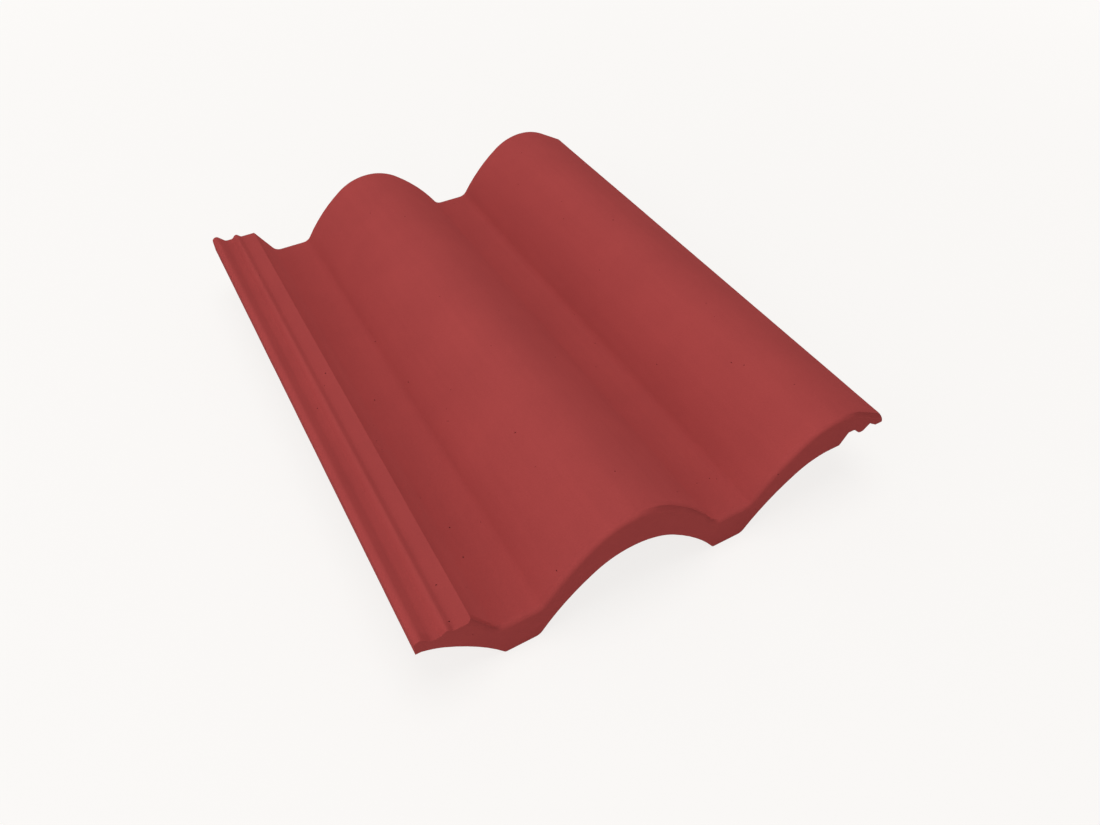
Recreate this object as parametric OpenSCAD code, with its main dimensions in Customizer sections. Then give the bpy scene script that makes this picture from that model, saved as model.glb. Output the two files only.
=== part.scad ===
// Interlocking concrete roof tile with two waves and a rounded nose.
// X runs across the tile, Y from the nose up to the head, and Z is up.
// The origin is under the middle of the tile, at the level that it rests on.

/* [Tile] */
// Length from the nose to the head
tile_length = 420; // [360:1:450]
// Distance from one wave to the next, half of the width that the tile covers
wave_pitch = 150; // [146:1:165]
// How far the tile reaches over its neighbour
side_lap = 30; // [28:0.5:33]
// Thickness of the body, square to its surface
body_t = 12; // [10.5:0.5:14]

/* [Waves] */
// Rise of a crest above the valley
wave_rise = 46.6; // [42:0.2:50]
// Radius of the crest
crest_r = 44; // [40:0.5:48]
// Angle of the crest's arc on each side of its top
crest_angle = 36; // [32:0.5:38]
// Radius of the flanks, which are nearly flat
flank_r = 136; // [100:1:180]
// Radius where a flank runs out into the valley
foot_r = 7.5; // [6.5:0.5:10]
// Distance from the lip's outer face to the neighbour's crest that covers it
crest_offset = 13; // [11:0.5:15]

/* [Nose] */
// Height of the nose face, the same along the whole wave
nose_height = 27.7; // [24:0.1:30]
// Radius of the rounded arris between the top and the nose face
nose_r = 3.6; // [2:0.2:4.4]
// Play of the nose's arches over the left sides of the waves below
left_play = 2; // [1:0.2:3]
// Play of the nose's arches over the right sides of the waves below
right_play = 5.2; // [4:0.2:6]
// Length of the thick bar behind the nose face
nose_bar = 22; // [12:1:40]
// Run of the bar's sloped back, which lets it leave the mould
bar_run = 8; // [4:0.5:12]

/* [Side lock] */
// Slope of the lap that covers the neighbour
lap_angle = 29.5; // [27:0.5:31]
// Radius of the lap's outer edge
edge_r = 6; // [5:0.5:7]
// Height of the lap's edge below its rounding
edge_h = 2.8; // [2.6:0.1:4]
// Width of the lock that the neighbour covers
lock_w = 33.7; // [31:0.1:36]
// Thickness of the lock under its grooves
lock_t = 6; // [5:0.5:8]
// Slope of the side from the lock down into the valley
lock_angle = 58; // [52:1:64]
// Height of the outer lip above the grooves
lip_h = 5.6; // [4.5:0.1:6.2]
// Radius of the lip and of the groove beside it
lip_r = 3.2; // [2.6:0.1:3.6]
// Distance from the lip's outer face to the middle of the rib
rib_place = 19; // [18:0.1:20]
// Height of the rib between the grooves
rib_h = 2.8; // [2:0.1:3.4]
// Radius of the rib and of the grooves beside it
rib_r = 2.2; // [1.6:0.1:2.4]
// Play between two tiles that lock together
lock_play = 0.4; // [0.2:0.1:0.8]
// Play over the rib, in the groove of the lap that takes it
rib_play = 1.6; // [0.6:0.1:2]
// Run of the sloped shoulder beside the groove that takes the neighbour's lip
shoulder_run = 5; // [3:0.5:6]

/* [Batten nibs] */
// Distance from the head to the face that hooks on the batten
nib_setback = 40; // [30:1:60]
// Length of a nib's foot along the tile
nib_l = 14; // [8:1:20]
// Distance from a nib's sides to the rounded feet of the waves beside it
nib_inset = 1.5; // [1:0.1:3]
// Draft of a nib's front and sides from its root to its foot
nib_draft = 1; // [0.5:0.1:2]
// Run of a nib's sloped back
nib_run = 6; // [3:0.5:12]

/* [Hidden] */
concrete_red = "#a54242";

// Slope of the sides of the lip and the rib
ridge_angle = 45;
// Steps that the arcs are drawn with
crest_steps = 10;
flank_steps = 6;
foot_steps = 6;
small_steps = 4;
nose_steps = 5;

tile_width = 2 * wave_pitch + side_lap;
cover_width = 2 * wave_pitch;
crest_x = wave_pitch - crest_offset;
last_x = crest_x + wave_pitch;
valley_z = nose_height;
crest_z = valley_z + wave_rise;
centre_z = crest_z - crest_r;

// A crest, a flank and a foot follow each other without a kink
flank_angle = acos((crest_r * (1 - cos(crest_angle)) + flank_r * cos(crest_angle) + foot_r - wave_rise)
    / (flank_r + foot_r));
foot_x = crest_r * sin(crest_angle) + flank_r * (sin(flank_angle) - sin(crest_angle))
    + foot_r * sin(flank_angle);

// The lap's edge stands on the neighbour's lock, so the lock's height follows the edge
lap_z = edge_centre(0)[1] - edge_h;
shelf_z = lap_z - lock_play;
lip_z = shelf_z + lip_h;
lock_z = shelf_z - lock_t;

// The groove that takes the neighbour's lip, and the shoulder beside it
groove_x = cover_width - lock_play;
groove_z = lip_z + lock_play;
shoulder_x = groove_x - shoulder_run;

// The side of the lock meets the first valley here, and each valley is flat between two feet
toe_x = lock_w + (shelf_z - valley_z) / tan(lock_angle) + foot_r * tan(lock_angle / 2);
valleys = [[max(toe_x, foot_x - crest_offset), crest_x - foot_x], [crest_x + foot_x, last_x - foot_x]];

// Points of an arc seen from above as a hump, after its first point, between two slopes
function hump(c, r, from, to, steps) =
    [for (i = [1:steps]) let (a = from + (to - from) * i / steps) c + r * [sin(a), cos(a)]];

// Points of an arc seen from above as a hollow, after its first point
function hollow(c, r, from, to, steps) = hump(c, -r, from, to, steps);

// Points of a straight line, after its first point
function straight(from, to, steps) = [for (i = [1:steps]) from + (to - from) * i / steps];

function moved(path, by) = [for (p = path) p + by];
function mirrored(path) = [for (i = [len(path) - 1:-1:0]) [-path[i][0], path[i][1]]];
function tail(path) = [for (i = [1:len(path) - 1]) path[i]];

// From a slope of the crest down to the valley, a depth inside the top
function half_wave(depth, from = 0) = concat(
    [[0, centre_z] + (crest_r - depth) * [sin(from), cos(from)]],
    hump([0, centre_z], crest_r - depth, from, crest_angle, crest_steps),
    hump([0, centre_z] + (crest_r - flank_r) * [sin(crest_angle), cos(crest_angle)],
        flank_r - depth, crest_angle, flank_angle, flank_steps),
    hollow([foot_x, valley_z + foot_r], foot_r + depth, flank_angle, 0, foot_steps));

// From the first valley over the first crest to the second valley
function first_wave(depth) =
    moved(concat(mirrored(half_wave(depth)), tail(half_wave(depth))), [crest_x, 0]);

// From the second valley up to the last crest
function last_wave(depth) = moved(mirrored(half_wave(depth)), [last_x, 0]);

// From the top of a small ridge down to its foot
function half_ridge(h, r) =
    let (bend = [sin(ridge_angle), cos(ridge_angle)],
        foot = 2 * r * bend[0] + (h - 2 * r * (1 - bend[1])) / tan(ridge_angle))
    concat([[0, h]],
        hump([0, h - r], r, 0, ridge_angle, small_steps),
        [[foot, r] - r * bend],
        hollow([foot, r], r, ridge_angle, 0, small_steps));

// The lip's inner side, the groove and a rib of a height, with the groove's floor at zero
function lock_ridges(h) = concat(
    moved(half_ridge(lip_h, lip_r), [lip_r, 0]),
    moved(mirrored(half_ridge(h, rib_r)), [rib_place, 0]),
    moved(tail(half_ridge(h, rib_r)), [rib_place, 0]));

// Centre of the lap's rounded edge, a depth inside the top
function edge_centre(depth) =
    let (r = edge_r - depth, x = tile_width - r, square = [sin(lap_angle), cos(lap_angle)],
        lap = square * [last_x, centre_z] + crest_r - depth)
    [x, (lap - r - square[0] * x) / square[1]];

// The side of the lock, a depth inside the top: its upper end at a height, its lower end and its foot
function side_top(depth, z) =
    [lock_w - depth / sin(lock_angle) + (shelf_z - z) / tan(lock_angle), z];
function side_end(depth) =
    [toe_x, valley_z + foot_r] - (foot_r + depth) * [sin(lock_angle), cos(lock_angle)];
function side_foot(depth) =
    hollow([toe_x, valley_z + foot_r], foot_r + depth, lock_angle, 0, foot_steps);

// Top of the tile from the lip to the lap's edge, with the nose's rounding at a depth
function top_path(depth) = concat(
    [[0, lip_z - lip_r]],
    hump([lip_r, lip_z - lip_r], lip_r, -90, 0, small_steps),
    moved(tail(lock_ridges(rib_h)), [0, shelf_z]),
    [side_top(depth, shelf_z), side_end(depth)],
    side_foot(depth),
    first_wave(depth),
    last_wave(depth),
    hump([last_x, centre_z], crest_r - depth, 0, lap_angle, crest_steps),
    [edge_centre(depth) + (edge_r - depth) * [sin(lap_angle), cos(lap_angle)]],
    hump(edge_centre(depth), edge_r - depth, lap_angle, 90, small_steps));

// The two lower corners of a nib or of its root, in a valley
function nib_pair(valley, z, draft) =
    [[valley[0] + nib_inset + draft, z], [valley[1] - nib_inset - draft, z]];

// The lap's underside, shaped to lie over the neighbour's lip and rib
function lap_path() = concat([[groove_x, groove_z]],
    moved(lock_ridges(rib_h + rib_play), [cover_width, lap_z]),
    [[tile_width, lap_z]]);

// Underside of the body from the lock to the lap's edge, with the nibs' corners at a height
function body_path(nib_z, draft) =
    let (r = crest_r - body_t, corner = side_top(body_t, lock_z))
    concat([[0, lock_z]],
        straight([0, lock_z], corner, crest_steps),
        straight(corner, side_end(body_t), flank_steps),
        side_foot(body_t),
        nib_pair(valleys[0], nib_z, draft),
        first_wave(body_t),
        nib_pair(valleys[1], nib_z, draft),
        last_wave(body_t),
        hump([last_x, centre_z], r, 0, asin((shoulder_x - last_x) / r), small_steps),
        lap_path());

// Half of an arch under the nose: the wave of the top with some play, let down by the nose's height
function half_arch(play, from = 0) = moved(half_wave(-play, from), [0, -nose_height - play]);

// Underside of the nose, which lies on the waves and valleys of the tiles below
function nose_path() =
    let (left = mirrored(half_arch(left_play)), right = half_arch(right_play),
        lock_arch = half_arch(right_play, asin(crest_offset / (crest_r + right_play))),
        top = [last_x, crest_z - nose_height])
    concat([for (p = lock_arch) [p[0] - crest_offset, min(p[1], lock_z)]],
        nib_pair(valleys[0], 0, 0),
        moved(concat(left, tail(right)), [crest_x, 0]),
        nib_pair(valleys[1], 0, 0),
        moved(left, [last_x, 0]),
        straight(top, [shoulder_x, top[1]], small_steps),
        lap_path());

plain_path = body_path(valley_z - body_t, 0);
nib_path = body_path(0, nib_draft);
nib_y = tile_length - nib_setback;

// Lines of the top at their distance from the nose: the quarter round of the nose, then the head
top_lines = concat(
    [for (i = [0:nose_steps]) let (a = 90 * (1 - i / nose_steps))
        [nose_r * (1 - sin(a)), top_path(nose_r * (1 - cos(a)))]],
    [[tile_length, top_path(0)]]);

// Lines of the underside: the nose bar, the plain body, the nibs and the head
under_lines = [
    [0, nose_path()],
    [nose_bar, nose_path()],
    [nose_bar + bar_run, plain_path],
    [nib_y, plain_path],
    [nib_y + nib_draft, nib_path],
    [nib_y + nib_draft + nib_l, nib_path],
    [nib_y + nib_draft + nib_l + nib_run, plain_path],
    [tile_length, plain_path]];

// Triangles between two lines of [place, point number] pairs that run the same way
function zipped(a, b, i = 0, j = 0) =
    i == len(a) - 1 && j == len(b) - 1 ? [] :
    j == len(b) - 1 || (i < len(a) - 1 && a[i + 1][0] <= b[j + 1][0])
        ? concat([[a[i][1], a[i + 1][1], b[j][1]]], zipped(a, b, i + 1, j))
        : concat([[a[i][1], b[j + 1][1], b[j][1]]], zipped(a, b, i, j + 1));

// A solid between a top sheet and an underside sheet, closed at its two ends and its two sides
module sheets(top, under) {
    m = len(top[0][1]);
    n = len(under[0][1]);
    rows = len(top) - 1;
    courses = len(under) - 1;
    low = len(top) * m;
    nose_top = [for (i = [0:m - 1]) [top[0][1][i][0], i]];
    head_top = [for (i = [0:m - 1]) [top[rows][1][i][0], rows * m + i]];
    nose_low = [for (i = [0:n - 1]) [under[0][1][i][0], low + i]];
    head_low = [for (i = [0:n - 1]) [under[courses][1][i][0], low + courses * n + i]];
    left_top = [for (k = [0:rows]) [top[k][0], k * m]];
    right_top = [for (k = [0:rows]) [top[k][0], k * m + m - 1]];
    left_low = [for (k = [0:courses]) [under[k][0], low + k * n]];
    right_low = [for (k = [0:courses]) [under[k][0], low + k * n + n - 1]];
    polyhedron(
        concat([for (line = top, p = line[1]) [p[0], line[0], p[1]]],
            [for (line = under, p = line[1]) [p[0], line[0], p[1]]]),
        concat(
            [for (k = [0:rows - 1], i = [0:m - 2]) let (a = k * m + i)
                [a, a + m, a + m + 1, a + 1]],
            [for (k = [0:courses - 1], i = [0:n - 2]) let (a = low + k * n + i)
                [a, a + 1, a + n + 1, a + n]],
            zipped(nose_top, nose_low), zipped(head_low, head_top),
            zipped(left_low, left_top), zipped(right_top, right_low)));
}

module roof_tile() {
    color(concrete_red) translate([-tile_width / 2, -tile_length / 2, 0]) sheets(top_lines, under_lines);
}

roof_tile();
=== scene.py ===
"""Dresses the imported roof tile: its cast surface, its red concrete, and a plain studio around it."""

import logging
import math
import random
import statistics
from dataclasses import dataclass
from enum import Enum

import bmesh
import bpy
from mathutils import Euler, Matrix, Vector


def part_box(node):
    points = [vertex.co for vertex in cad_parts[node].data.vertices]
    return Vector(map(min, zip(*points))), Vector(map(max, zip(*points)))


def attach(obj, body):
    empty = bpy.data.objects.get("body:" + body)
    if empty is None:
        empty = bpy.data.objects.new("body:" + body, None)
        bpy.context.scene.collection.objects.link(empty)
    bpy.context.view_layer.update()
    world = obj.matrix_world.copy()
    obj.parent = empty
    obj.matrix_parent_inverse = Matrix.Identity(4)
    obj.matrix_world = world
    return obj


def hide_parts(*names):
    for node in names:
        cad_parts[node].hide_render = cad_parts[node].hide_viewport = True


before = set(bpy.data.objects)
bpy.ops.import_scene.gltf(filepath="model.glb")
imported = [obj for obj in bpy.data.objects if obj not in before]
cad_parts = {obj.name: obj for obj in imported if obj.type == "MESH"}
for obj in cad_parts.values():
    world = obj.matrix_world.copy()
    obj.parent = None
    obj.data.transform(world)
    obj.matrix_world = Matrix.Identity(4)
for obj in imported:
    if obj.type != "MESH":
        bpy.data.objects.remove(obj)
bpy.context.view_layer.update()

LOG = logging.getLogger("roof_tile")
MM = 0.001


def linear(hex_colour: str) -> tuple[float, float, float, float]:
    """Turns an sRGB hex colour into the linear colour that a shader takes, by the sRGB standard's curve.

    Args:
        hex_colour: A colour such as "#a54242".

    Returns:
        Red, green, blue and an alpha of one.
    """
    parts = [int(hex_colour[i:i + 2], 16) / 255 for i in (1, 3, 5)]
    red, green, blue = (p / 12.92 if p <= 0.04045 else ((p + 0.055) / 1.055) ** 2.4 for p in parts)
    return red, green, blue, 1.0


def per_metre(size_mm: float) -> float:
    """Gives the texture scale at which one cell of a pattern has this size in millimetres."""
    return 1 / (size_mm * MM)


def add_node(tree: bpy.types.NodeTree, kind: str, inputs: dict[str | int, object] | None = None,
             **settings: object) -> bpy.types.Node:
    """Adds a shader node with its settings and links.

    Args:
        tree: The node tree that takes the node.
        kind: Blender's name for the kind of node.
        inputs: What each socket gets, as a value or as another node's output.
        settings: The node's own properties.

    Returns:
        The new node.
    """
    node = tree.nodes.new(kind)
    for name, value in settings.items():
        setattr(node, name, value)
    for name, value in (inputs or {}).items():
        if isinstance(value, bpy.types.NodeSocket):
            tree.links.new(value, node.inputs[name])
        else:
            node.inputs[name].default_value = value
    return node


def new_tree(name: str) -> tuple[bpy.types.Material, bpy.types.NodeTree]:
    """Makes a material with an empty node tree.

    Args:
        name: The material's name.

    Returns:
        The material and its node tree.
    """
    material = bpy.data.materials.new(name)
    material.use_nodes = True
    material.node_tree.nodes.clear()
    return material, material.node_tree


def pick(piece: bpy.types.Object) -> None:
    """Leaves one object selected and active, because operators act on all that is selected.

    Args:
        piece: The object to work on.
    """
    bpy.ops.object.select_all(action="DESELECT")
    piece.select_set(True)
    bpy.context.view_layer.objects.active = piece


def apply_modifier(piece: bpy.types.Object, kind: str, **settings: object) -> None:
    """Adds a modifier to a piece and applies it.

    Args:
        piece: The object to work on.
        kind: Blender's name for the kind of modifier.
        settings: The modifier's own properties.
    """
    pick(piece)
    modifier = piece.modifiers.new(kind.lower(), kind)
    for name, value in settings.items():
        setattr(modifier, name, value)
    bpy.ops.object.modifier_apply(modifier=modifier.name)


class Side(Enum):
    """A side of the tile that has pinholes, as the way that a probe goes to reach it."""

    TOP = (0, 0, -1)
    UNDER = (0, 0, 1)
    NOSE = (0, 1, 0)


@dataclass(frozen=True)
class CastConcrete:
    """Through-coloured concrete, pressed wet in a mould: dead matt, sandy, faintly mottled.

    The iron-oxide pigment is in the whole mix, so the eye sees one brick red with a slow drift in
    tone, faint streaks along the way that the tile left the machine, and the sand under the skin.
    """

    name: str = "pigmented_cast_concrete"
    dark_hex: str = "#9a3f3e"
    pale_hex: str = "#aa4745"
    # The slow drift in tone, and the streaks, which are this many times as long as they are wide
    mottle_mm: float = 55.0
    streak_mm: float = 5.0
    streak_stretch: float = 30.0
    # Real sand grains are about 0.4 mm, and are drawn coarser so that they show
    grain_mm: float = 0.9
    grain_depth_mm: float = 0.05
    # Shallow pores, whose sides rise between these two distances from the middle, as shares of the size
    pore_mm: float = 3.2
    pore_depth_mm: float = 0.06
    pore_sides: tuple[float, float] = (0.05, 0.3)
    pore_strength: float = 0.5
    # How far each pattern moves the tone between the dark colour and the pale one
    mottle_share: float = 0.9
    streak_share: float = 0.3
    grain_share: float = 0.9
    # Dead matt, a little more or less so with the mottle
    roughness: float = 0.9
    roughness_drift: float = 0.05
    specular: float = 0.04

    def material(self) -> bpy.types.Material:
        """Makes the concrete's material.

        Returns:
            A material on Object coordinates.
        """
        material, tree = new_tree(self.name)
        place = add_node(tree, "ShaderNodeTexCoord").outputs["Object"]
        mottle = add_node(tree, "ShaderNodeTexNoise", {
            "Vector": place, "Scale": per_metre(self.mottle_mm), "Detail": 5.0, "Roughness": 0.6})
        drawn = add_node(tree, "ShaderNodeMapping", {
            "Vector": place, "Scale": (1, 1 / self.streak_stretch, 1)})
        streaks = add_node(tree, "ShaderNodeTexNoise", {
            "Vector": drawn.outputs["Vector"], "Scale": per_metre(self.streak_mm), "Detail": 3.0})
        grain = add_node(tree, "ShaderNodeTexNoise", {
            "Vector": place, "Scale": per_metre(self.grain_mm), "Detail": 3.0, "Roughness": 0.65})
        pores = add_node(tree, "ShaderNodeTexVoronoi", {
            "Vector": place, "Scale": per_metre(self.pore_mm), "Randomness": 1.0})

        tone = self.tone(tree, mottle.outputs["Fac"], streaks.outputs["Fac"], grain.outputs["Fac"])
        colour = add_node(tree, "ShaderNodeMix", {
            "Factor": tone, "A": linear(self.dark_hex), "B": linear(self.pale_hex)}, data_type="RGBA")
        dull = add_node(tree, "ShaderNodeMapRange", {
            "Value": mottle.outputs["Fac"], "To Min": self.roughness - self.roughness_drift,
            "To Max": self.roughness + self.roughness_drift})
        inner, outer = self.pore_sides
        pocks = add_node(tree, "ShaderNodeMapRange", {
            "Value": pores.outputs["Distance"], "From Min": inner, "From Max": outer})
        dents = add_node(tree, "ShaderNodeBump", {
            "Height": pocks.outputs["Result"], "Distance": self.pore_depth_mm * MM,
            "Strength": self.pore_strength})
        bump = add_node(tree, "ShaderNodeBump", {
            "Height": grain.outputs["Fac"], "Distance": self.grain_depth_mm * MM, "Strength": 1.0,
            "Normal": dents.outputs["Normal"]})
        shader = add_node(tree, "ShaderNodeBsdfPrincipled", {
            "Base Color": colour.outputs["Result"], "Roughness": dull.outputs["Result"],
            "Normal": bump.outputs["Normal"], "Specular IOR Level": self.specular})
        add_node(tree, "ShaderNodeOutputMaterial", {"Surface": shader.outputs["BSDF"]})
        return material

    def tone(self, tree: bpy.types.NodeTree, mottle: bpy.types.NodeSocket, streaks: bpy.types.NodeSocket,
             grain: bpy.types.NodeSocket) -> bpy.types.NodeSocket:
        """Adds the slow mottle, the streaks and the sand up to one factor.

        Args:
            tree: The material's node tree.
            mottle: The mottle's pattern.
            streaks: The streaks' pattern.
            grain: The sand's pattern.

        Returns:
            A factor from the dark tone to the pale one.
        """
        # Each pattern wavers about a half, and so does their sum
        half = 0.5
        total: float | bpy.types.NodeSocket = half
        for pattern, share in (
                (mottle, self.mottle_share), (streaks, self.streak_share), (grain, self.grain_share)):
            swing = add_node(tree, "ShaderNodeMath", {0: pattern, 1: half}, operation="SUBTRACT")
            added = add_node(tree, "ShaderNodeMath", {
                0: swing.outputs[0], 1: share, 2: total}, operation="MULTIPLY_ADD")
            total = added.outputs[0]
        return total


@dataclass(frozen=True)
class Pinholes:
    """Small air holes that the mix leaves in the cast skin, with painted shade on their inner faces."""

    seed: int = 7
    least_mm: float = 0.28
    most_mm: float = 0.5
    # How far a hole's middle lies under the skin, as a share of its radius
    sunk: float = 0.2
    # The least and the most that a hole is squeezed or stretched out of round
    stretch: tuple[float, float] = (0.8, 1.2)
    # The strip along the tile's edges that stays free of holes
    margin_mm: float = 6.0
    # How squarely a probe has to meet the surface, as the cosine of the angle between them
    squareness: float = 0.3
    # Edges shorter than this are slivers of the cut
    sliver_mm: float = 0.002
    counts: tuple[tuple[Side, int], ...] = ((Side.TOP, 60), (Side.UNDER, 30), (Side.NOSE, 4))
    # The holes' inner faces take this darker concrete, which is painted shade in the holes
    painted_shade: CastConcrete = CastConcrete("pinhole_painted_shade", dark_hex="#5a2121", pale_hex="#6c2a2a")

    def cut(self, tile: bpy.types.Object) -> None:
        """Cuts the holes into the tile.

        Args:
            tile: The tile's mesh object.
        """
        draw = random.Random(self.seed)
        balls = [self.ball(draw, spot, normal)
                 for side, count in self.counts
                 for spot, normal in self.spots(draw, tile, side, count)]
        pick(balls[0])
        for ball in balls:
            ball.select_set(True)
        bpy.ops.object.join()
        cutter = bpy.context.view_layer.objects.active
        # The cutter carries the darker concrete, which the cut passes on to the holes' inner faces as
        # painted shade
        cutter.data.materials.append(self.painted_shade.material())
        apply_modifier(tile, "BOOLEAN", object=cutter, operation="DIFFERENCE", solver="MANIFOLD",
                       material_mode="TRANSFER")
        bpy.data.objects.remove(cutter)
        self.clear_slivers(tile)

    def spots(self, draw: random.Random, tile: bpy.types.Object, side: Side,
              count: int) -> list[tuple[Vector, Vector]]:
        """Finds places for holes by probing the tile from one side.

        Args:
            draw: The source of random numbers.
            tile: The tile's mesh object.
            side: The side to probe.
            count: How many holes to place.

        Returns:
            A place on the surface and the surface's normal for each hole.
        """
        low, high = (Vector(c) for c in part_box(RoofTile.node))
        margin = self.margin_mm * MM
        way = Vector(side.value)
        found: list[tuple[Vector, Vector]] = []
        while len(found) < count:
            start = Vector(draw.uniform(a + margin, b - margin) for a, b in zip(low, high))
            start -= way * (high - low).length
            hit, place, normal, _ = tile.ray_cast(start, way)
            if hit and normal.dot(way) < -self.squareness:
                found.append((place, normal))
        return found

    def ball(self, draw: random.Random, spot: Vector, normal: Vector) -> bpy.types.Object:
        """Makes the small uneven ball that cuts one hole.

        Args:
            draw: The source of random numbers.
            spot: Where the hole is on the surface.
            normal: The surface's normal there.

        Returns:
            The ball's mesh object.
        """
        radius = draw.uniform(self.least_mm, self.most_mm) * MM
        bpy.ops.mesh.primitive_ico_sphere_add(subdivisions=2, radius=radius)
        ball = bpy.context.active_object
        uneven = Matrix.Diagonal((draw.uniform(*self.stretch), draw.uniform(*self.stretch), 1, 1))
        turn = Euler([draw.uniform(0, math.tau) for _ in range(3)]).to_matrix().to_4x4()
        ball.data.transform(Matrix.Translation(spot - normal * radius * self.sunk) @ turn @ uneven)
        return ball

    def clear_slivers(self, tile: bpy.types.Object) -> None:
        """Dissolves the slivers that the cut leaves, which would open the mesh in an exported file.

        Args:
            tile: The tile's mesh object.
        """
        pick(tile)
        bpy.ops.object.mode_set(mode="EDIT")
        bpy.ops.mesh.select_all(action="SELECT")
        bpy.ops.mesh.dissolve_degenerate(threshold=self.sliver_mm * MM)
        bpy.ops.object.mode_set(mode="OBJECT")


@dataclass
class RoofTile:
    """The tile, cast in one piece: the frame's solid with soft arrises, a cast surface and pinholes."""

    node: str = "roof_tile"
    body: str = "root"
    slot: str = "concrete"
    # Corners closer than this are one, and faces within this angle lie in one plane
    merge_mm: float = 0.01
    flat_angle: float = 0.1
    # Radius of the arrises that the mould and the knife leave, and the angle past which one is sharp
    arris_mm: float = 0.6
    arris_angle: float = 38.0
    arris_steps: int = 2
    # The nose's rounding, which the solid has already
    nose_mm: float = 3.8
    # A face looks up or down, or along the tile, when that part of its normal is past this
    upright_part: float = 0.2
    endways_part: float = 0.99
    # Distance between the cross lines that carry the relief, and between the cuts in the end faces
    course_mm: float = 8.0
    # Cross lines close behind the nose, and the course at which the even ones begin
    nose_lines_mm: tuple[float, ...] = (4.2, 6.0)
    first_course: int = 2
    # The pressed surface is never quite true
    relief_mm: float = 0.22
    relief_size_mm: float = 26.0
    # Bends up to this angle are shaded smooth, and large faces lead the small ones beside them
    smooth_angle: float = 44.0
    large_face_weight: int = 80
    # The slurry coat rounds the bends between these two places across the tile, in the shading alone
    eased_mm: tuple[float, float] = (-131.5, 152.0)
    ease_width_mm: int = 9
    # Share of it on slopes that face the lap, on slopes that face the lock, and on the lock itself
    ease_to_lap: float = 1.0
    ease_to_lock: float = 0.4
    lock_share: float = 0.35
    # Distances over which it sets in beside the lock, fades out at the lap and sets in behind the nose
    ease_ramps_mm: tuple[float, float, float] = (2.0, 8.0, 2.0)
    # The steepest slope towards the lap that the eased shading comes near, in degrees
    ease_cap: float = 30.0
    # Where along the tile the slope across it is probed, and how far above the tile a probe starts
    probe_rows_mm: tuple[float, ...] = (-61.0, -7.0, 83.0)
    probe_height_mm: float = 1000.0
    # How far the nose's rounding is shaded like its face where it falls towards the lap, the slope in
    # degrees that gets all of that, and the depth of rounding that it is done to
    nose_turn: float = 0.75
    nose_turn_slope: float = 24.0
    nose_turn_mm: float = 2.4
    concrete: CastConcrete = CastConcrete()
    pinholes: Pinholes = Pinholes()

    def make(self) -> bpy.types.Object:
        """Builds the tile, dresses it and lets it stand for its node.

        Returns:
            The finished piece.
        """
        tile = self.copy_solid()
        self.soften(tile)
        self.cross_lines(tile)
        self.split_ends(tile)
        self.relieve(tile)
        tile.data.materials.clear()
        tile.data.materials.append(self.concrete.material())
        self.pinholes.cut(tile)
        self.smooth(tile)
        self.ease_shading(tile)
        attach(tile, self.body)
        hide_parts(self.node)
        return tile

    def copy_solid(self) -> bpy.types.Object:
        """Copies the node's mesh, merges its loose triangles and joins those that lie in one plane.

        Returns:
            A mesh object of its own.
        """
        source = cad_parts[self.node]
        tile = bpy.data.objects.new("cast_tile", source.data.copy())
        bpy.context.scene.collection.objects.link(tile)
        pick(tile)
        bpy.ops.mesh.customdata_custom_splitnormals_clear()
        bpy.ops.object.mode_set(mode="EDIT")
        bpy.ops.mesh.select_all(action="SELECT")
        bpy.ops.mesh.remove_doubles(threshold=self.merge_mm * MM)
        bpy.ops.mesh.dissolve_limited(angle_limit=math.radians(self.flat_angle))
        bpy.ops.object.mode_set(mode="OBJECT")
        return tile

    def soften(self, tile: bpy.types.Object) -> None:
        """Rounds the arrises by less than a millimetre, as the mould and the knife leave them.

        Args:
            tile: The tile's mesh object.
        """
        pick(tile)
        bpy.ops.object.mode_set(mode="EDIT")
        bpy.ops.mesh.select_mode(type="EDGE")
        bpy.ops.mesh.select_all(action="DESELECT")
        mesh = bmesh.from_edit_mesh(tile.data)
        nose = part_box(self.node)[0][1]
        for edge in mesh.edges:
            edge.select_set(self.is_arris(edge, nose))
        bmesh.update_edit_mesh(tile.data)
        bpy.ops.mesh.bevel(offset=self.arris_mm * MM, segments=self.arris_steps, affect="EDGES",
                           clamp_overlap=False)
        bpy.ops.object.mode_set(mode="OBJECT")

    def is_arris(self, edge: bmesh.types.BMEdge, nose: float) -> bool:
        """Tells whether an edge is sharp enough to be softened, clear of the nose's own rounding.

        Args:
            edge: An edge of the tile's closed mesh.
            nose: Where the nose face is along the tile, in metres.

        Returns:
            True for a sharp edge behind the nose, and for the nose's lower edge.
        """
        if edge.calc_face_angle() < math.radians(self.arris_angle):
            return False
        near, far = sorted(v.co.y - nose for v in edge.verts)
        looks_down = min(face.normal.z for face in edge.link_faces) < -self.upright_part
        return near > self.nose_mm * MM or (far < self.merge_mm * MM and looks_down)

    def cross_lines(self, tile: bpy.types.Object) -> None:
        """Cuts lines across the tile, close behind the nose's rounding and then evenly to the head.

        Args:
            tile: The tile's mesh object.
        """
        low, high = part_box(self.node)
        length = high[1] - low[1]
        courses = round(length / (self.course_mm * MM))
        places = [line * MM for line in self.nose_lines_mm]
        places += [length * k / courses for k in range(self.first_course, courses)]
        pick(tile)
        bpy.ops.object.mode_set(mode="EDIT")
        for place in places:
            bpy.ops.mesh.select_all(action="SELECT")
            bpy.ops.mesh.bisect(plane_co=(0, low[1] + place, 0), plane_no=(0, 1, 0))
        bpy.ops.object.mode_set(mode="OBJECT")

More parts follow.
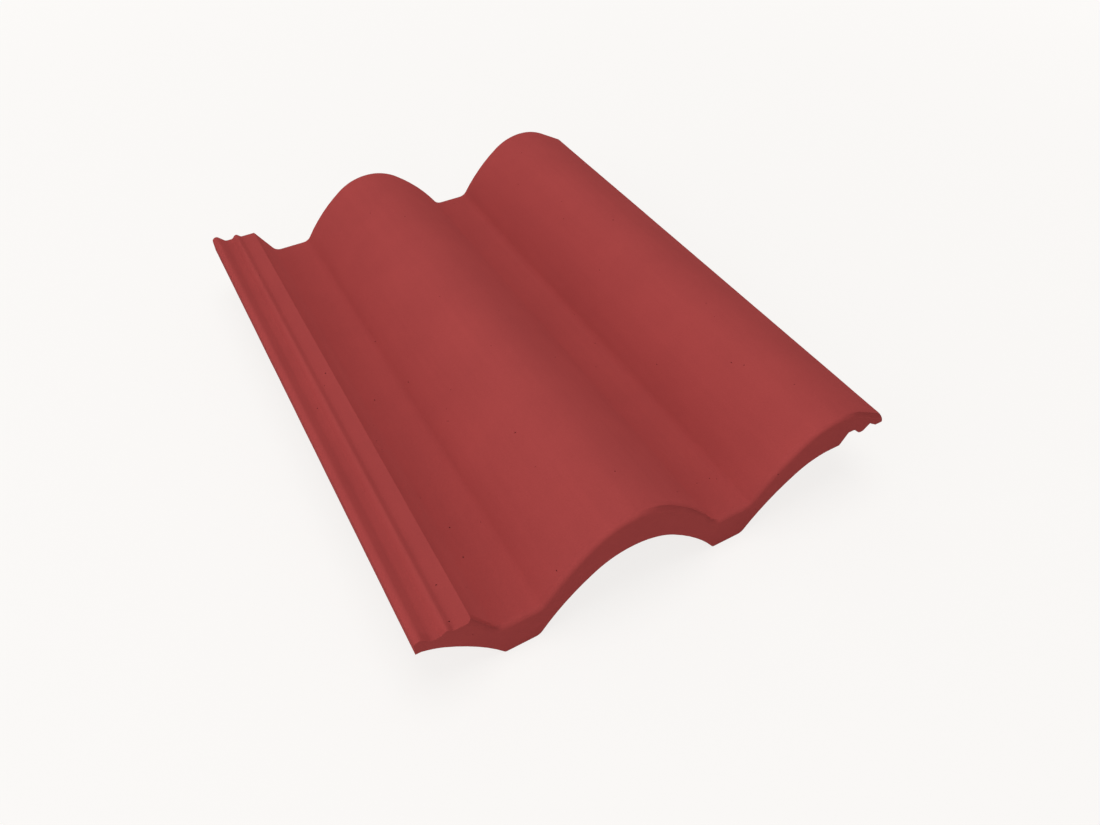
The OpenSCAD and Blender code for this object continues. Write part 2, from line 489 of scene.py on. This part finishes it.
    def split_ends(self, tile: bpy.types.Object) -> None:
        """Cuts the winding faces of the nose and the head into upright strips.

        Args:
            tile: The tile's mesh object.
        """
        low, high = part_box(self.node)
        width = high[0] - low[0]
        strips = round(width / (self.course_mm * MM))
        pick(tile)
        bpy.ops.object.mode_set(mode="EDIT")
        bpy.ops.mesh.select_mode(type="FACE")
        for k in range(1, strips):
            bpy.ops.mesh.select_all(action="DESELECT")
            mesh = bmesh.from_edit_mesh(tile.data)
            for face in mesh.faces:
                face.select_set(abs(face.normal.y) > self.endways_part)
            bmesh.update_edit_mesh(tile.data)
            bpy.ops.mesh.bisect(plane_co=(low[0] + width * k / strips, 0, 0), plane_no=(1, 0, 0))
        bpy.ops.object.mode_set(mode="OBJECT")

    def relieve(self, tile: bpy.types.Object) -> None:
        """Presses a slow unevenness into the surface, inwards only, so that the tile keeps its size.

        Args:
            tile: The tile's mesh object.
        """
        clouds = bpy.data.textures.new("pressed_relief", "CLOUDS")
        clouds.noise_scale = self.relief_size_mm * MM
        clouds.noise_depth = 2
        apply_modifier(tile, "DISPLACE", texture=clouds, texture_coords="LOCAL", mid_level=1.0,
                       strength=self.relief_mm * MM)

    def smooth(self, tile: bpy.types.Object) -> None:
        """Shades the tile smooth between its sharp edges.

        Args:
            tile: The tile's mesh object.
        """
        pick(tile)
        bpy.ops.object.shade_smooth_by_angle(angle=math.radians(self.smooth_angle))
        apply_modifier(tile, "WEIGHTED_NORMAL", keep_sharp=True, weight=self.large_face_weight)

    def ease_shading(self, tile: bpy.types.Object) -> None:
        """Bends the normals of the top and of the nose's rounding, and leaves the form as it is.

        Args:
            tile: The tile's mesh object.
        """
        mesh = tile.data
        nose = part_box(self.node)[0][1] / MM
        slopes = self.eased_slopes(tile)
        normals = [corner.vector.copy() for corner in mesh.corner_normals]
        for face in mesh.polygons:
            in_pinhole = face.material_index > 0
            if in_pinhole or face.normal.z < self.upright_part:
                continue
            middle_x, middle_y, _ = face.center / MM
            on_rounding = middle_x > self.eased_mm[0] and middle_y < nose + self.nose_turn_mm
            for corner in face.loop_indices:
                if on_rounding:
                    normals[corner] = self.turned(normals[corner])
                else:
                    x, y, _ = mesh.vertices[mesh.loops[corner].vertex_index].co / MM
                    normals[corner] = self.eased(normals[corner], slopes, x, y - nose)
        mesh.normals_split_custom_set(normals)

    def turned(self, own: Vector) -> Vector:
        """Turns a normal on the nose's rounding to the front where it faces the lap, for a crisp edge.

        Args:
            own: The rounding's normal.

        Returns:
            The turned normal.
        """
        slope = math.degrees(math.atan2(own.x, own.z))
        share = self.nose_turn * min(1.0, max(0.0, slope / self.nose_turn_slope))
        return own.lerp(Vector((0, -1, 0)), share).normalized()

    def eased(self, own: Vector, slopes: dict[int, float], x: float, y: float) -> Vector:
        """Bends a normal of the top towards its neighbours' across the tile.

        Args:
            own: The surface's normal.
            slopes: The blurred slope at each millimetre across the tile, in radians.
            x: The place across the tile, in millimetres.
            y: The distance from the nose, in millimetres.

        Returns:
            The bent normal, or the same one where no shading is eased.
        """
        share = self.share_at(x, y)
        if share <= 0:
            return own
        left = math.floor(x)
        goal = slopes[left] + (slopes[left + 1] - slopes[left]) * (x - left)
        share *= self.ease_to_lock if goal < 0 else self.ease_to_lap
        slope = math.atan2(own.x, own.z)
        slope += share * (goal - slope)
        reach = math.hypot(own.x, own.z)
        return Vector((reach * math.sin(slope), own.y, reach * math.cos(slope)))

    def share_at(self, x: float, y: float) -> float:
        """Tells how much of the eased shading a place gets.

        Args:
            x: The place across the tile, in millimetres.
            y: The distance from the nose, in millimetres.

        Returns:
            A share that is small on the lock, and zero on the lap's edge and the nose's rounding.
        """
        left, right = self.eased_mm
        by_lock, by_lap, by_nose = self.ease_ramps_mm
        ramps = (max(self.lock_share, (x - left) / by_lock), (right - x) / by_lap,
                 (y - self.nose_mm) / by_nose)
        return math.prod(min(1.0, max(0.0, ramp)) for ramp in ramps)

    def eased_slopes(self, tile: bpy.types.Object) -> dict[int, float]:
        """Probes the slope of the top across the tile, caps it towards the lap and blurs it.

        Args:
            tile: The tile's mesh object.

        Returns:
            The blurred slope, in radians, at each millimetre across the tile.
        """
        left = math.floor(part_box(self.node)[0][0] / MM)
        right = round(self.eased_mm[1])
        # Three widths on each side take in nearly all of the bell curve that blurs the slope
        reach = 3 * self.ease_width_mm
        cap = math.radians(self.ease_cap)
        down = Vector((0, 0, -1))
        slopes = {}
        for x in range(left - reach, right + 1):
            normals = [tile.ray_cast(Vector((x * MM, y * MM, self.probe_height_mm * MM)), down)[2]
                       for y in self.probe_rows_mm]
            slope = statistics.median(math.atan2(normal.x, normal.z) for normal in normals)
            slopes[x] = cap * math.tanh(slope / cap) if slope > 0 else slope
        weights = {d: math.exp(-0.5 * (d / self.ease_width_mm) ** 2) for d in range(-reach, reach + 1)}
        total = sum(weights.values())
        return {x: sum(w * slopes[min(x + d, right)] for d, w in weights.items()) / total
                for x in range(left, right + 1)}


@dataclass(frozen=True)
class PhotoCamera:
    """The camera at the photograph's place, with its angle and its field of view."""

    place_mm: tuple[float, float, float] = (-209.0, -430.8, 446.3)
    azimuth: float = -29.5
    elevation: float = 45.8
    focal_px: float = 835.7
    frame_px: float = 1100.0
    sensor_mm: float = 36.0
    clip_start_mm: float = 10.0

    def make(self) -> bpy.types.Object:
        """Adds the camera and makes it the scene's.

        Returns:
            The camera.
        """
        bpy.ops.object.camera_add(
            location=[v * MM for v in self.place_mm],
            rotation=(math.radians(90 - self.elevation), 0, math.radians(self.azimuth)))
        camera = bpy.context.active_object
        camera.data.sensor_fit = "HORIZONTAL"
        camera.data.sensor_width = self.sensor_mm
        camera.data.lens = self.focal_px / self.frame_px * self.sensor_mm
        camera.data.clip_start = self.clip_start_mm * MM
        bpy.context.scene.camera = camera
        return camera


@dataclass(frozen=True)
class Lamp:
    """A large soft lamp that looks at the middle of the tile, with its place and size in metres."""

    name: str
    place: tuple[float, float, float]
    watts: float
    size: float = 1.4

    def make(self) -> bpy.types.Object:
        """Adds the lamp.

        Returns:
            The lamp.
        """
        bpy.ops.object.light_add(type="AREA", location=self.place)
        lamp = bpy.context.active_object
        lamp.name = self.name
        lamp.data.shape = "DISK"
        lamp.data.size = self.size
        lamp.data.energy = self.watts
        lamp.rotation_euler = (-Vector(self.place)).to_track_quat("-Z", "Y").to_euler()
        return lamp


@dataclass(frozen=True)
class Studio:
    """A pale floor, a dim white sky, and large soft lamps above, on the left, in front and behind."""

    # The floor's size in metres, and the hair by which it lies under the tile, so that faces don't fight
    floor_size: float = 12.0
    floor_drop_mm: float = 0.1
    # The floor as it is seen, the darker one that its bounce light comes from, and the ground far off
    floor_hex: str = "#f6f4f2"
    bounce_hex: str = "#c9c7c5"
    ground_hex: str = "#fcfaf8"
    # Share of the ground's even colour in the floor near the tile, and the distances in metres between
    # which the floor fades into it
    ground_share: float = 0.85
    fade_from: float = 0.3
    fade_to: float = 1.1
    sky_hex: str = "#ffffff"
    sky_strength: float = 0.35
    lamps: tuple[Lamp, ...] = (
        Lamp("top_lamp", (0, 0, 2), 19.0), Lamp("left_lamp", (-1.8, 0, 0.9), 8.4),
        Lamp("front_lamp", (-1, -1.7, 0.4), 9.3), Lamp("back_lamp", (0, 1.7, 1), 2.6))

    def make(self) -> bpy.types.Object:
        """Adds the floor, the sky and the lamps, and sets how colours are shown.

        Returns:
            The floor.
        """
        bpy.context.scene.view_settings.view_transform = "Standard"
        self.make_sky()
        for lamp in self.lamps:
            lamp.make()
        bpy.ops.mesh.primitive_plane_add(size=self.floor_size, location=(0, 0, -self.floor_drop_mm * MM))
        floor = bpy.context.active_object
        floor.name = "floor"
        floor.data.materials.append(self.floor_material())
        return floor

    def seen(self, tree: bpy.types.NodeTree) -> bpy.types.NodeSocket:
        """Gives a factor that is one for what the camera, a gloss or a clear piece sees.

        Args:
            tree: The node tree that takes the nodes.

        Returns:
            The factor.
        """
        path = add_node(tree, "ShaderNodeLightPath").outputs
        total = path["Is Camera Ray"]
        for ray in ("Is Glossy Ray", "Is Transmission Ray"):
            either = add_node(tree, "ShaderNodeMath", {0: total, 1: path[ray]}, operation="MAXIMUM")
            total = either.outputs[0]
        return total

    def floor_material(self) -> bpy.types.Material:
        """Makes the floor's matt white, which fades into the ground's colour and is clear from below.

        Returns:
            The floor's material.
        """
        material, tree = new_tree("pale_floor")
        seen = self.seen(tree)
        colour = add_node(tree, "ShaderNodeMix", {
            "Factor": seen, "A": linear(self.bounce_hex), "B": linear(self.floor_hex)}, data_type="RGBA")
        matt = add_node(tree, "ShaderNodeBsdfDiffuse", {"Color": colour.outputs["Result"]})
        place = add_node(tree, "ShaderNodeTexCoord").outputs["Object"]
        reach = add_node(tree, "ShaderNodeVectorMath", {0: place}, operation="LENGTH")
        fade = add_node(tree, "ShaderNodeMapRange", {
            "Value": reach.outputs["Value"], "From Min": self.fade_from, "From Max": self.fade_to,
            "To Min": self.ground_share, "To Max": 1.0})
        share = add_node(tree, "ShaderNodeMath", {
            0: seen, 1: fade.outputs["Result"]}, operation="MULTIPLY")
        lift = add_node(tree, "ShaderNodeEmission", {"Color": linear(self.ground_hex)})
        lifted = add_node(tree, "ShaderNodeMixShader", {
            0: share.outputs[0], 1: matt.outputs[0], 2: lift.outputs[0]})
        below = add_node(tree, "ShaderNodeNewGeometry").outputs["Backfacing"]
        clear = add_node(tree, "ShaderNodeBsdfTransparent")
        floor = add_node(tree, "ShaderNodeMixShader", {
            0: below, 1: lifted.outputs[0], 2: clear.outputs[0]})
        add_node(tree, "ShaderNodeOutputMaterial", {"Surface": floor.outputs[0]})
        return material

    def make_sky(self) -> None:
        """Makes the sky that lights the tile, with the ground's colour where it is seen."""
        world = bpy.data.worlds.new("studio_sky")
        world.use_nodes = True
        tree = world.node_tree
        tree.nodes.clear()
        light = add_node(tree, "ShaderNodeBackground", {
            "Color": linear(self.sky_hex), "Strength": self.sky_strength})
        shown = add_node(tree, "ShaderNodeBackground", {
            "Color": linear(self.ground_hex), "Strength": 1.0})
        mixed = add_node(tree, "ShaderNodeMixShader", {
            0: self.seen(tree), 1: light.outputs[0], 2: shown.outputs[0]})
        add_node(tree, "ShaderNodeOutputWorld", {"Surface": mixed.outputs[0]})
        bpy.context.scene.world = world


def main() -> None:
    """Builds the camera, the studio and the tile in order."""
    logging.basicConfig(level=logging.INFO, format="%(name)s: %(message)s")
    for part in (PhotoCamera(), Studio(), RoofTile()):
        piece = part.make()
        LOG.info("made %s with %d faces", piece.name, len(getattr(piece.data, "polygons", ())))


if __name__ == "__main__":
    main()
